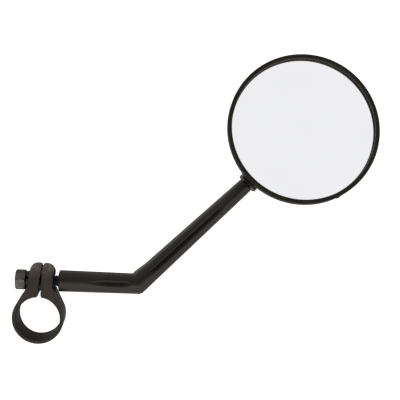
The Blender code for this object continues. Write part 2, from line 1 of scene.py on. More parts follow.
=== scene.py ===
"""Round bar-mount bicycle mirror: fine meshes, materials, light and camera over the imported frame.

Metres, +Z up. The clamp's bore runs along Y; its ears stand above the bore, with a bolt along X
through them. The bent arm leaves the clamp towards +X and carries the round head, whose glass
faces the camera on the -Y side.
"""

import json
import math

import bmesh
import bpy
import numpy as np
from mathutils import Matrix, Vector


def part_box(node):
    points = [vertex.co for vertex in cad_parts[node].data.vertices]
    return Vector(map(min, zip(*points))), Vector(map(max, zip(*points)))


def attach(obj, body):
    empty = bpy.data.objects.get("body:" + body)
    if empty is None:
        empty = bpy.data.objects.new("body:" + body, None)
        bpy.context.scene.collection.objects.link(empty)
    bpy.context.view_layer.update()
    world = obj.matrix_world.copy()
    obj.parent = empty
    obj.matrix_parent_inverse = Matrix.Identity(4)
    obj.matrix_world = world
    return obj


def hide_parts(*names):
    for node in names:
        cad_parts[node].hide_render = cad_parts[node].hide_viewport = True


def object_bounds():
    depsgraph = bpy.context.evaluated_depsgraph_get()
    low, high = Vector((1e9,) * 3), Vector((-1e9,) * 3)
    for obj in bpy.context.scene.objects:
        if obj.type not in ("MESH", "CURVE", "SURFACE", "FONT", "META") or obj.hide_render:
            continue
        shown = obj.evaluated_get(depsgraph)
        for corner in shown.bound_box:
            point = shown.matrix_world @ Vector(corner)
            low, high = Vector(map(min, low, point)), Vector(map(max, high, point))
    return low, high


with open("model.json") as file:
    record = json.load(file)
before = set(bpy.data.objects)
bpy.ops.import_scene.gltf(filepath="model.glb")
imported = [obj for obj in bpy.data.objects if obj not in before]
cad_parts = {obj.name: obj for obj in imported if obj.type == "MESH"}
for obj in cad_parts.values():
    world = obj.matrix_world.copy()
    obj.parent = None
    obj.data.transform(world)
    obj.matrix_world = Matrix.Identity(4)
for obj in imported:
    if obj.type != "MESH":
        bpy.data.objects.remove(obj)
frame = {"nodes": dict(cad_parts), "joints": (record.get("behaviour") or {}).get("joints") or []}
cad_low, cad_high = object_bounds()
MM = 0.001

# ================================================================ frames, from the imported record
joints = {joint["name"]: joint for joint in frame["joints"]}


def axis_of(joint):
    return Vector(joints[joint]["axis"]).normalized()


def basis(x, y, z, origin):
    """The matrix with these axes and origin."""
    matrix = Matrix((x, y, z)).transposed().to_4x4()
    matrix.translation = origin
    return matrix


# Clamp: its half width along Y, the bore's centre, and the ears' height over that centre.
band_low, band_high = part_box("clamp_band")
HALF_WIDTH = (band_high.y - band_low.y) / 2
BAND_R = (band_high.x - band_low.x) / 2
MID_Y = (band_high.y + band_low.y) / 2
BORE_Z = band_low.z + BAND_R
TOP = band_high.z - BORE_Z
BOLT = Vector(joints["arm_pivot"]["pos_m"])
BOLT.x = 0.0
ARM_FACE_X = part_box("arm_bar")[0].x + 0.55 * MM  # the arm's end face, beside the clamp

leg_axis = axis_of("head_swivel")
ball_at = Vector(joints["head_swivel"]["pos_m"])
x_axis = Vector((1, 0, 0))
up_axis = Vector((0, leg_axis.y, leg_axis.z)).normalized()  # across the first leg, in its plane
BALL_TO_HEAD = 35.3 * MM
BALL_TO_ARM = 5.4 * MM
HEAD_CANT = math.radians(-1.15)  # the head at rest, in its own plane

IDENTITY = Matrix.Identity(4)
TO_X = Matrix.Rotation(math.radians(90), 4, "Y")  # Z onto +X
TO_Y = Matrix.Rotation(math.radians(-90), 4, "X")  # Z onto +Y
BOLT_M = Matrix.Translation(BOLT)
CLAMP_M = Matrix.Translation(Vector((0, MID_Y, BORE_Z)))
ARM_M = basis(x_axis, up_axis.cross(x_axis), up_axis, BOLT)
BALL_M = basis(axis_of("head_tilt"), axis_of("head_side_tilt"), leg_axis, ball_at)
HEAD_M = (
    BALL_M @ Matrix.Rotation(HEAD_CANT, 4, "Y") @ Matrix.Translation((0, 0, BALL_TO_HEAD))
)
HEAD_Y = HEAD_M @ TO_Y

# The arm's bend, in the arm's frame.
BEND = math.acos(leg_axis.x)
LEG2 = Vector((math.cos(BEND), 0, math.sin(BEND)))
ball_local = ARM_M.inverted() @ ball_at
BEND_X = ball_local.x - ball_local.z / math.tan(BEND)
LEG1_LENGTH = BEND_X - ARM_FACE_X
LEG2_LENGTH = ball_local.z / math.sin(BEND) - BALL_TO_ARM


# ================================================================ materials
class Nodes:
    """A material's node tree, with short ways to add and join nodes."""

    def __init__(self, name):
        self.mat = bpy.data.materials.new(name)
        self.mat.use_nodes = True
        self.tree = self.mat.node_tree
        self.shader = self.tree.nodes["Principled BSDF"]
        self.coords = self.add("ShaderNodeTexCoord").outputs["Object"]

    def put(self, socket, value):
        """Links another socket or sets a value; colours come without their alpha."""
        if isinstance(value, bpy.types.NodeSocket):
            self.tree.links.new(value, socket)
        elif socket.type == "RGBA":
            socket.default_value = (*value, 1)
        else:
            socket.default_value = value

    def add(self, kind, **settings):
        """A new node; each setting is one of its properties or inputs."""
        node = self.tree.nodes.new(kind)
        for key, value in settings.items():
            if hasattr(node, key):
                setattr(node, key, value)
            else:
                self.put(node.inputs[key.replace("_", " ")], value)
        return node

    def noise(self, scale, detail, rough, stretch=None):
        vector = self.coords
        if stretch is not None:
            mapping = self.add("ShaderNodeMapping", Vector=vector, Scale=stretch)
            vector = mapping.outputs["Vector"]
        node = self.add(
            "ShaderNodeTexNoise", Vector=vector, Scale=scale, Detail=detail, Roughness=rough
        )
        return node.outputs["Fac"]

    def ramp(self, value, over, colours):
        node = self.add("ShaderNodeValToRGB", Fac=value)
        for element, position, colour in zip(node.color_ramp.elements, over, colours):
            element.position = position
            element.color = (*colour, 1)
        return node.outputs["Color"]

    def span(self, value, over, to, **settings):
        """The value's range 'over' mapped onto the range 'to'."""
        node = self.add(
            "ShaderNodeMapRange",
            Value=value,
            From_Min=over[0],
            From_Max=over[1],
            To_Min=to[0],
            To_Max=to[1],
            **settings,
        )
        return node.outputs["Result"]

    def maths(self, operation, a, b):
        node = self.add("ShaderNodeMath", operation=operation)
        self.put(node.inputs[0], a)
        self.put(node.inputs[1], b)
        return node.outputs["Value"]

    def dot(self, a, b):
        node = self.add("ShaderNodeVectorMath", operation="DOT_PRODUCT")
        self.put(node.inputs[0], a)
        self.put(node.inputs[1], b)
        return node.outputs["Value"]

    def colour_mix(self, factor, a, b):
        return self.add("ShaderNodeMixRGB", Fac=factor, Color1=a, Color2=b).outputs["Color"]

    def edge(self, radius):
        """1 on sharp edges and corners, 0 on flat faces."""
        bevel = self.add("ShaderNodeBevel", samples=6, Radius=radius)
        geometry = self.add("ShaderNodeNewGeometry")
        likeness = self.dot(bevel.outputs["Normal"], geometry.outputs["Normal"])
        return self.span(likeness, over=(1.0, 0.75), to=(0.0, 1.0))

    def bump(self, height, distance, strength, under=None):
        node = self.add("ShaderNodeBump", Distance=distance, Strength=strength, Height=height)
        if under is not None:
            self.put(node.inputs["Normal"], under)
        return node.outputs["Normal"]

    def by_ray(self, camera, diffuse, glossy, singular):
        """One value chosen by the kind of ray: each is a number or a socket."""
        path = self.add("ShaderNodeLightPath")
        value = glossy
        for flag, other in (
            ("Is Diffuse Ray", diffuse),
            ("Is Singular Ray", singular),
            ("Is Camera Ray", camera),
        ):
            mix = self.add("ShaderNodeMix", data_type="FLOAT")
            # Sockets 0, 2 and 3 are the factor and the pair of floats.
            for place, source in ((0, path.outputs[flag]), (2, value), (3, other)):
                self.put(mix.inputs[place], source)
            value = mix.outputs[0]
        return value

    def finish(self, **inputs):
        for key, value in inputs.items():
            self.put(self.shader.inputs[key.replace("_", " ")], value)
        return self.mat


WARM_TINT = (1.0, 0.89, 0.74)
# Pale nylon: the colour of worn edges and of the painted highlight on the ear tops.
WORN_AND_HIGHLIT_NYLON = (0.170, 0.140, 0.120)
# Painted shade for the clamp's bore wall.
BORE_PAINTED_SHADE = (0.0075, 0.0060, 0.0048)
# Painted shade for the arm's grooves.
GROOVE_PAINTED_SHADE = (0.0028, 0.0029, 0.0026)


def clamp_wear_and_painted_light(nodes, colour, spec):
    """Paler worn edges, a painted highlight on the ear tops, and a duller bore wall with painted
    shade.
    """
    edge = nodes.edge(radius=0.35 * MM)
    patchy = nodes.noise(scale=700.0, detail=4.0, rough=0.7)
    worn = nodes.maths("MULTIPLY", edge, nodes.span(patchy, over=(0.42, 0.62), to=(0.0, 0.8)))
    colour = nodes.colour_mix(worn, colour, WORN_AND_HIGHLIT_NYLON)

    place = nodes.add("ShaderNodeSeparateXYZ", Vector=nodes.coords).outputs
    # Painted highlight: the ear tops are mixed in patches towards the pale nylon, more strongly
    # near the top.
    ear_tops = (BORE_Z + TOP - 6.5 * MM, BORE_Z + TOP - 1.0 * MM)
    high = nodes.span(place["Z"], over=ear_tops, to=(0.0, 1.0))
    patches = nodes.noise(scale=420.0, detail=5.0, rough=0.7)
    patches = nodes.span(patches, over=(0.40, 0.62), to=(0.15, 1.0))
    top_highlight = nodes.maths("MULTIPLY", nodes.maths("MULTIPLY", high, patches), 0.55)
    colour = nodes.colour_mix(top_highlight, colour, WORN_AND_HIGHLIT_NYLON)

    # Painted shade: the bore wall is mixed towards a dark colour, and it is also made less glossy.
    z = nodes.maths("SUBTRACT", place["Z"], BORE_Z)
    x_squared = nodes.maths("MULTIPLY", place["X"], place["X"])
    squares = nodes.maths("ADD", x_squared, nodes.maths("MULTIPLY", z, z))
    from_axis = nodes.maths("SQRT", squares, 0.0)
    within = nodes.span(from_axis, over=(11.25 * MM, 11.55 * MM), to=(1.0, 0.0))
    colour = nodes.colour_mix(nodes.maths("MULTIPLY", within, 0.30), colour, BORE_PAINTED_SHADE)
    dulled = nodes.span(within, over=(0.0, 1.0), to=(spec, 0.11))
    nodes.put(nodes.shader.inputs["Specular IOR Level"], dulled)
    return colour


def shade_and_dull_grooves(nodes, colour, spec):
    """Darker with painted shade, and less glossy, where the 'hollow' attribute is high."""
    depth = nodes.add("ShaderNodeAttribute", attribute_name="hollow").outputs["Fac"]
    groove_painted_shade = nodes.span(depth, over=(0.25, 0.9), to=(0.0, 0.75))
    colour = nodes.colour_mix(groove_painted_shade, colour, GROOVE_PAINTED_SHADE)
    dulled = nodes.span(depth, over=(0.25, 0.9), to=(spec, spec * 0.42))
    nodes.put(nodes.shader.inputs["Specular IOR Level"], dulled)
    return colour


def satin_plastic(name, dark, light, rough, grain, spec, flow=None, wear_and_painted_light=False, hollow=False):
    """Moulded black plastic: faint flow marks and a fine skin."""
    nodes = Nodes(name)
    broad = nodes.noise(scale=90.0, detail=4.0, rough=0.6, stretch=flow)
    fine = nodes.noise(scale=2600.0, detail=3.0, rough=0.6)
    skin = nodes.noise(scale=900.0, detail=2.0, rough=0.5)
    colour = nodes.ramp(broad, over=(0.3, 0.7), colours=(dark, light))
    # Clamp wear, with a painted highlight on the ear tops and painted shade on the bore wall.
    if wear_and_painted_light:
        colour = clamp_wear_and_painted_light(nodes, colour, spec)
    mottled = nodes.maths(
        "ADD",
        nodes.span(broad, over=(0.3, 0.7), to=(-0.04, 0.05)),
        nodes.span(fine, over=(0.3, 0.7), to=(-0.03, 0.03)),
    )
    roughness = nodes.maths("ADD", mottled, rough)
    bump = nodes.bump(skin, distance=0.02 * MM, strength=grain)
    bump = nodes.bump(fine, distance=0.008 * MM, strength=grain, under=bump)
    # Painted shade in the arm's grooves.
    if hollow:
        colour = shade_and_dull_grooves(nodes, colour, spec)
    return nodes.finish(
        Base_Color=colour,
        Roughness=roughness,
        Normal=bump,
        Specular_IOR_Level=spec,
        Specular_Tint=WARM_TINT,
    )


def metal(name, dark, light, rough, metallic=1.0, brushed=None):
    """Streaked and clouded metal with brighter edges."""
    nodes = Nodes(name)
    streak = nodes.noise(scale=1500.0, detail=4.0, rough=0.65, stretch=brushed)
    cloud = nodes.noise(scale=260.0, detail=4.0, rough=0.6)
    half_streak = nodes.maths("MULTIPLY", streak, 0.5)
    blend = nodes.maths("ADD", half_streak, nodes.maths("MULTIPLY", cloud, 0.5))
    colour = nodes.ramp(blend, over=(0.38, 0.62), colours=(dark, light))
    worn = nodes.maths("MULTIPLY", nodes.edge(radius=0.2 * MM), 0.5)
    bright = tuple(min(1.0, channel * 1.8 + 0.03) for channel in light)
    colour = nodes.colour_mix(worn, colour, bright)
    clouding = nodes.span(cloud, over=(0.3, 0.7), to=(-0.07, 0.08))
    return nodes.finish(
        Base_Color=colour,
        Roughness=nodes.maths("ADD", clouding, rough),
        Normal=nodes.bump(streak, distance=0.012 * MM, strength=0.3),
        Metallic=metallic,
    )


def rubber_material():
    nodes = Nodes("black_rubber")
    fine = nodes.noise(scale=1800.0, detail=4.0, rough=0.7)
    broad = nodes.noise(scale=300.0, detail=3.0, rough=0.5)
    shades = ((0.010, 0.010, 0.010), (0.022, 0.021, 0.020))
    return nodes.finish(
        Base_Color=nodes.ramp(broad, over=(0.3, 0.7), colours=shades),
        Roughness=nodes.span(fine, over=(0.3, 0.7), to=(0.55, 0.75)),
        Normal=nodes.bump(fine, distance=0.03 * MM, strength=0.8),
        Specular_IOR_Level=0.35,
    )


def foam_material():
    nodes = Nodes("closed_cell_foam")
    voronoi = nodes.add("ShaderNodeTexVoronoi", Scale=1400.0, Vector=nodes.coords)
    cells = voronoi.outputs["Distance"]
    shades = ((0.05, 0.05, 0.05), (0.16, 0.16, 0.155))
    return nodes.finish(
        Base_Color=nodes.ramp(cells, over=(0.0, 0.6), colours=shades),
        Roughness=nodes.span(cells, over=(0.0, 0.7), to=(0.85, 0.98)),
        Normal=nodes.bump(cells, distance=0.2 * MM, strength=0.8),
    )


def mirror_material():
    """Silvered face: the faintest polishing haze keeps it from being a flat colour."""
    nodes = Nodes("silvered_glass")
    haze = nodes.noise(scale=55.0, detail=3.0, rough=0.5)
    specks = nodes.noise(scale=1200.0, detail=2.0, rough=0.5)
    shades = ((0.846, 0.848, 0.862), (0.860, 0.862, 0.876))
    colour = nodes.ramp(haze, over=(0.3, 0.7), colours=shades)
    speckling = nodes.span(specks, over=(0.62, 0.72), to=(0.0, 0.02))
    colour = nodes.colour_mix(speckling, colour, (0.80, 0.80, 0.81))
    return nodes.finish(Base_Color=colour, Metallic=1.0, Roughness=0.0)


def glass_edge_material():
    nodes = Nodes("ground_glass_edge")
    fine = nodes.noise(scale=1500.0, detail=3.0, rough=0.6)
    shades = ((0.20, 0.24, 0.25), (0.30, 0.35, 0.36))
    return nodes.finish(
        Base_Color=nodes.ramp(fine, over=(0.3, 0.7), colours=shades),
        Roughness=nodes.span(fine, over=(0.3, 0.7), to=(0.25, 0.45)),
        Normal=nodes.bump(fine, distance=0.01 * MM, strength=0.5),
    )


ARM_PLASTIC = satin_plastic(
    "arm_satin_plastic",
    dark=(0.0108, 0.0100, 0.0084),
    light=(0.0168, 0.0155, 0.0130),
    rough=0.33,
    grain=0.5,
    spec=0.42,
    flow=(0.25, 1.0, 1.0),
    hollow=True,
)
HEAD_PLASTIC = satin_plastic(
    "head_satin_plastic",
    dark=(0.0100, 0.0090, 0.0070),
    light=(0.0150, 0.0135, 0.0105),
    rough=0.34,
    grain=0.35,
    spec=0.30,
)
BEZEL_PLASTIC = satin_plastic(
    "bezel_satin_plastic",
    dark=(0.0135, 0.0120, 0.0092),
    light=(0.0190, 0.0170, 0.0132),
    rough=0.46,
    grain=0.35,
    spec=0.16,
)
HOUSING_PLASTIC = satin_plastic(
    "housing_fine_texture",
    dark=(0.0085, 0.0085, 0.0082),
    light=(0.0135, 0.0133, 0.0128),
    rough=0.46,
    grain=1.2,
    spec=0.42,
)
CLAMP_NYLON = satin_plastic(
    "clamp_glass_nylon",
    dark=(0.0145, 0.0118, 0.0096),
    light=(0.0440, 0.0352, 0.0284),
    rough=0.58,
    grain=1.6,
    spec=0.28,
    wear_and_painted_light=True,
)
BLACK_ZINC = metal(
    "black_zinc_steel",
    dark=(0.045, 0.040, 0.034),
    light=(0.190, 0.170, 0.155),
    rough=0.40,
    metallic=0.85,
)
THREAD_STEEL = metal(
    "black_thread_steel",
    dark=(0.020, 0.019, 0.018),
    light=(0.060, 0.057, 0.053),
    rough=0.38,
    metallic=0.9,
)
BRIGHT_STEEL = metal(
    "bright_turned_steel",
    dark=(0.42, 0.42, 0.42),
    light=(0.60, 0.60, 0.59),
    rough=0.24,
    brushed=(1.0, 1.0, 6.0),
)
BRASS = metal(
    "turned_brass",
    dark=(0.50, 0.34, 0.12),
    light=(0.70, 0.52, 0.24),
    rough=0.28,
    brushed=(6.0, 1.0, 1.0),
)
ACETAL = satin_plastic(
    "dark_acetal",
    dark=(0.030, 0.030, 0.028),
    light=(0.045, 0.045, 0.042),
    rough=0.42,
    grain=0.5,
    spec=0.5,
)
RUBBER = rubber_material()
FOAM = foam_material()
MIRROR = mirror_material()
GLASS_EDGE = glass_edge_material()


# ================================================================ outline and mesh helpers
def polar(radius, angle):
    return radius * math.cos(angle), radius * math.sin(angle)


def turn_from(angle, middle):
    """The signed turn from middle to angle, within half a turn."""
    return (angle - middle + math.pi) % (2 * math.pi) - math.pi


def eased(value):
    value = min(max(value, 0.0), 1.0)
    return value * value * (3 - 2 * value)


def x_range(node):
    low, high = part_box(node)
    return low.x, high.x


def fillet(corners, steps):
    """The outline of (x, y, radius) corners with an arc of that radius at each."""
    out = []
    for i, (x, y, radius) in enumerate(corners):
        corner = Vector((x, y))
        if radius <= 0:
            out.append(tuple(corner))
            continue
        before = Vector(corners[i - 1][:2]) - corner
        after = Vector(corners[(i + 1) % len(corners)][:2]) - corner
        longest = min(before.length, after.length)
        before.normalize()
        after.normalize()
        half = before.angle(after) / 2
        radius = min(radius, 0.98 * math.tan(half) * longest)
        reach = radius / math.tan(half)
        centre = corner + (before + after).normalized() * (radius / math.sin(half))
        start = corner + before * reach - centre
        end = corner + after * reach - centre
        turn = math.atan2(start.x * end.y - start.y * end.x, start.dot(end))
        for k in range(steps + 1):
            cos, sin = polar(1.0, turn * k / steps)
            out.append(
                (
                    centre.x + cos * start.x - sin * start.y,
                    centre.y + sin * start.x + cos * start.y,
                )
            )
    return out


def spaced(points, longest):
    """The closed outline with long straight runs divided."""
    out = []
    for i, start in enumerate(points):
        end = points[(i + 1) % len(points)]
        length = math.hypot(end[0] - start[0], end[1] - start[1])
        parts = max(1, int(math.ceil(length / longest)))
        for k in range(parts):
            share = k / parts
            out.append(tuple(a + (b - a) * share for a, b in zip(start, end)))
    return out


def ring_faces(rows, columns, close_rows=False):
    """Quads between successive closed rings of points."""
    faces = []
    for i in range(rows if close_rows else rows - 1):
        a, b = i * columns, ((i + 1) % rows) * columns
        for k in range(columns):
            j = (k + 1) % columns
            faces.append((a + k, a + j, b + j, b + k))
    return faces


def end_faces(rows, columns):
    """The two faces that close a stack of rings."""
    last = (rows - 1) * columns
    return [tuple(range(columns - 1, -1, -1)), tuple(range(last, last + columns))]


def sweep(profile, angles):
    """Verts and faces of a closed (radius, height) outline set at each angle about Z."""
    verts = []
    for angle in angles:
        verts.extend((*polar(radius, angle), z) for radius, z in profile)
    return verts, ring_faces(len(angles), len(profile), close_rows=True)


def revolve(profile, steps):
    return sweep(profile, [2 * math.pi * k / steps for k in range(steps)])


def to_mesh(name, verts, faces):
    """A closed mesh in which coinciding points are one and the faces they close up are gone."""
    places, seen = [], {}
    for vert in verts:
        key = tuple(round(c * 1e7) for c in vert)
        if key not in seen:
            seen[key] = len(seen)
        places.append(seen[key])
    points = [None] * len(seen)
    for vert, place in zip(verts, places):
        points[place] = points[place] or tuple(vert)
    kept = []
    for face in faces:
        loop = [places[i] for i in face]
        loop = [place for i, place in enumerate(loop) if place != loop[i - 1]]
        if len(set(loop)) > 2:
            kept.append(loop)
    mesh = bpy.data.meshes.new(name)
    mesh.from_pydata(points, [], kept)
    bm = bmesh.new()
    bm.from_mesh(mesh)
    bmesh.ops.dissolve_degenerate(bm, edges=bm.edges, dist=1e-8)
    loose_edges = [edge for edge in bm.edges if not edge.link_faces]
    bmesh.ops.delete(bm, geom=loose_edges, context="EDGES")
    loose_verts = [vert for vert in bm.verts if not vert.link_faces]
    bmesh.ops.delete(bm, geom=loose_verts, context="VERTS")
    bmesh.ops.recalc_face_normals(bm, faces=bm.faces)
    bm.to_mesh(mesh)
    bm.free()
    return mesh


def add_object(name, mesh):
    obj = bpy.data.objects.new(name, mesh)
    bpy.context.scene.collection.objects.link(obj)
    return obj


def finish_piece(mesh, name, mat, matrix, body, replaces, slot, sharp, extra=()):
    mesh.transform(matrix)
    bm = bmesh.new()
    bm.from_mesh(mesh)
    bmesh.ops.remove_doubles(bm, verts=bm.verts, dist=2e-7)
    bmesh.ops.recalc_face_normals(bm, faces=bm.faces)
    bm.to_mesh(mesh)
    bm.free()
    mesh.materials.clear()
    for material in (mat, *extra):
        mesh.materials.append(material)
    mesh.shade_smooth()
    mesh.set_sharp_from_angle(angle=math.radians(sharp))
    obj = add_object(name, mesh)
    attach(obj, body)
    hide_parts(replaces)
    return obj


def new_piece(name, verts, faces, **settings):
    mesh = bpy.data.meshes.new(name)
    mesh.from_pydata([tuple(vert) for vert in verts], [], [tuple(face) for face in faces])
    mesh.validate()
    return finish_piece(mesh, name, **settings)


def cylinder(name, radius, low, high, matrix, steps, high_radius=None):
    """A helper object for a Boolean: a cylinder or cone from low to high along Z."""
    if high_radius is None:
        high_radius = radius
    profile = [(0, low), (radius, low), (high_radius, high), (0, high)]
    obj = add_object(name, to_mesh(name, *revolve(profile, steps)))
    obj.data.transform(matrix)
    return obj


def combine(base, tools):
    """base's mesh after the (operation, object) steps; the objects are removed."""
    # The solver works in millimetres.
    for obj in [base] + [tool for _, tool in tools]:
        obj.data.transform(Matrix.Scale(1000.0, 4))
    for operation, tool in tools:
        modifier = base.modifiers.new(tool.name, "BOOLEAN")
        modifier.operation = operation
        modifier.solver = "MANIFOLD"
        modifier.object = tool
    bpy.context.view_layer.update()
    graph = bpy.context.evaluated_depsgraph_get()
    mesh = bpy.data.meshes.new_from_object(base.evaluated_get(graph))
    mesh.transform(Matrix.Scale(0.001, 4))
    for _, tool in tools:
        bpy.data.objects.remove(tool, do_unlink=True)
    bpy.data.objects.remove(base, do_unlink=True)
    return mesh


# ================================================================ clamp band
BORE_R = 11.1 * MM
EAR_X = 6.15 * MM  # the ears' outer faces
WALL_TRIM = 0.25 * MM
# The band sits turned on its bore and the ears stand a little more askew.
BAND_TURN = math.radians(2.0)
LEAN, LEAN_FROM = 0.030, 7.0 * MM
bolt_height = BOLT.z - BORE_Z
BOLT_LEAN = bolt_height * math.sin(BAND_TURN) + LEAN * (bolt_height - LEAN_FROM)
NUT_SHIFT = BOLT_LEAN + 0.45 * MM


def clamp_outline():
    """One closed C of (x, z) points, anticlockwise, with the bore's centre at the origin."""
    flare = math.radians(28.5)  # where the band runs out into the ear
    band_r = BAND_R - WALL_TRIM
    foot = polar(band_r, flare)
    knee_z = foot[1] + (foot[0] - EAR_X) / math.sin(flare) * math.cos(flare)
    slit_low, slit_high = 0.62 * MM, 0.34 * MM  # the slit's half width at its foot and top
    outer = []
    for k in range(97):
        x, z = polar(band_r, -math.pi / 2 + (flare + math.pi / 2) * k / 96)
        outer.append((x, z + WALL_TRIM * min(0.0, z / band_r)))
    ear = fillet(
        [
            (*foot, 0),
            (EAR_X, knee_z, 5.0 * MM),
            (EAR_X, TOP, 3.8 * MM),
            (slit_high, TOP, 0.9 * MM),
            (slit_low, 8 * MM, 0),
        ],
        steps=14,
    )
    start = math.pi / 2 - math.asin(slit_low / BORE_R)
    bore = [polar(BORE_R, start - (start + math.pi / 2) * k / 150) for k in range(151)]
    right = outer + ear[1:-1]
    # The slit opens out into the bore through a rounded corner.
    mouth = [(*right[-1], 0), (*bore[0], 1.5 * MM), (*bore[14], 0)]
    right += fillet(mouth, steps=8)[1:-1]
    right += [p for p in bore if math.hypot(p[0] - bore[0][0], p[1] - bore[0][1]) > 1.55 * MM]
    # The left half mirrors the right, from the bore's foot back round to the outer foot.
    left = [(-x, z) for x, z in reversed(right[1:-1])]
    # The wall is a little thicker on the nut's side.
    on_bore = BORE_R + 0.02 * MM
    left = [(x * 0.955, z) if math.hypot(x, z) < on_bore else (x, z) for x, z in left]
    return right + left


def inward_normals(points):
    """Inward directions at the points of an anticlockwise outline, lengthened at corners."""
    ahead = np.roll(points, -1, axis=0) - points
    behind = points - np.roll(points, 1, axis=0)
    ahead /= np.linalg.norm(ahead, axis=1)[:, None]
    behind /= np.linalg.norm(behind, axis=1)[:, None]
    tangent = ahead + behind
    tangent /= np.linalg.norm(tangent, axis=1)[:, None]
    cosine = np.clip((tangent * ahead).sum(axis=1), 0.35, 1)
    return np.stack([-tangent[:, 1], tangent[:, 0]], axis=1) / cosine[:, None]


def clamp_layers():
    """(y, inset) of each copy of the outline: rounded rims with an even body between."""
    rounding = 0.55 * MM
    back = []
    for k in range(6):
        angle = math.pi / 2 * k / 5
        inset = rounding * (1 - math.cos(angle))
        back.append((HALF_WIDTH - rounding * (1 - math.sin(angle)), inset))
    front = [(-y, inset) for y, inset in reversed(back)]
    body = []
    for k in range(1, 28):
        share = math.sin(math.radians(-78 + 156 * k / 28)) / math.sin(math.radians(78))
        body.append(((HALF_WIDTH - rounding) * share, 0.0))
    return front + body + back


def clamp_mesh():
    points = np.array(spaced(clamp_outline(), 0.7 * MM))
    count = len(points)
    inward = inward_normals(points)
    layers = clamp_layers()
    round_from = TOP - HALF_WIDTH  # above this height the ears are half-round across the width
    cos, sin = polar(1.0, BAND_TURN)
    verts = []
    for y, inset in layers:
        moved = points + inward * inset
        lift = max(0.0, 1 - (y / HALF_WIDTH) ** 2) ** 0.5
        height = moved[:, 1]
        z = np.where(height > round_from, round_from + (height - round_from) * lift, height)
        x = moved[:, 0] + LEAN * np.maximum(height - LEAN_FROM, 0.0)
        verts.extend(zip(x * cos + z * sin, np.full(count, y), z * cos - x * sin))
    mesh = bpy.data.meshes.new("clamp")
    bm = bmesh.new()
    bm_verts = [bm.verts.new(vert) for vert in verts]
    for face in ring_faces(len(layers), count):
        bm.faces.new([bm_verts[i] for i in face])
    bm.faces.new(bm_verts[:count])
    bm.faces.new(bm_verts[-count:][::-1])
    bmesh.ops.remove_doubles(bm, verts=bm.verts, dist=2e-6)
    bmesh.ops.dissolve_degenerate(bm, edges=bm.edges, dist=1e-7)
    caps = [face for face in bm.faces if len(face.verts) > 8]
    bmesh.ops.triangulate(bm, faces=caps)
    bmesh.ops.recalc_face_normals(bm, faces=bm.faces)
    bm.to_mesh(mesh)
    bm.free()
    return mesh


def drilled_clamp():
    """The clamp with its bolt hole and the round seats sunk in the ears' outer faces."""
    base = bpy.data.objects.new("clamp_base", clamp_mesh())
    base.data.transform(CLAMP_M)
    bpy.context.scene.collection.objects.link(base)
    along_bolt = BOLT_M @ TO_X
    hole = cylinder("hole", 3.25 * MM, -12 * MM, 12 * MM, along_bolt, steps=64)
    tools = [("DIFFERENCE", hole)]
    # A shallow draft makes each seat's wall lean outwards.
    floor_r, mouth_r = 5.6 * MM, 6.6 * MM
    floor_x, mouth_x = EAR_X - 0.04 * MM, EAR_X + 6 * MM
    for name, radius, low, high, high_radius in (
        ("seat-1", mouth_r, -mouth_x, NUT_SHIFT - floor_x, floor_r),
        ("seat1", floor_r, floor_x, mouth_x, mouth_r),
    ):
        seat = cylinder(name, radius, low, high, along_bolt, steps=96, high_radius=high_radius)
        tools.append(("DIFFERENCE", seat))
    return combine(base, tools)


finish_piece(
    drilled_clamp(),
    "clamp_band_moulded",
    mat=CLAMP_NYLON,
    matrix=IDENTITY,
    body="clamp",
    replaces="clamp_band",
    slot="black_nylon",
    sharp=38,
)


# ================================================================ lock washer
def washer(thick):
    """A split ring, a slight helix pressed almost flat, its ends cut on a slant."""
    inner, outer = 3.15 * MM, 4.45 * MM
    inner_ease, outer_ease = 0.12 * MM, 0.28 * MM
    gap = math.radians(7.5)  # half the split's opening
    split_at = math.radians(-118)
    end_slant = 0.16  # radians over the thickness
    rise = 0.10 * MM
    steps = 150
    section = fillet(
        [
            (inner, -thick / 2, inner_ease),
            (outer, -thick / 2, outer_ease),
            (outer, thick / 2, outer_ease),
            (inner, thick / 2, inner_ease),
        ],
        steps=4,
    )
    verts = []
    for k in range(steps + 1):
        share = k / steps
        angle = split_at + gap + (2 * math.pi - 2 * gap) * share
        for radius, height in section:
            slant = height / thick * end_slant if k in (0, steps) else 0.0
            verts.append((*polar(radius, angle + slant), height + rise * (share - 0.5)))
    ends = [face[::-1] for face in end_faces(steps + 1, len(section))]
    return verts, ring_faces(steps + 1, len(section)) + ends


low_x, high_x = x_range("lock_washer")
new_piece(
    "spring_lock_washer",
    *washer(high_x - low_x),
    mat=THREAD_STEEL,
    matrix=BOLT_M @ Matrix.Translation(((low_x + high_x) / 2 + NUT_SHIFT, 0, 0)) @ TO_X,
    body="clamp",
    replaces="lock_washer",
    slot="black_zinc",
    sharp=40,
)


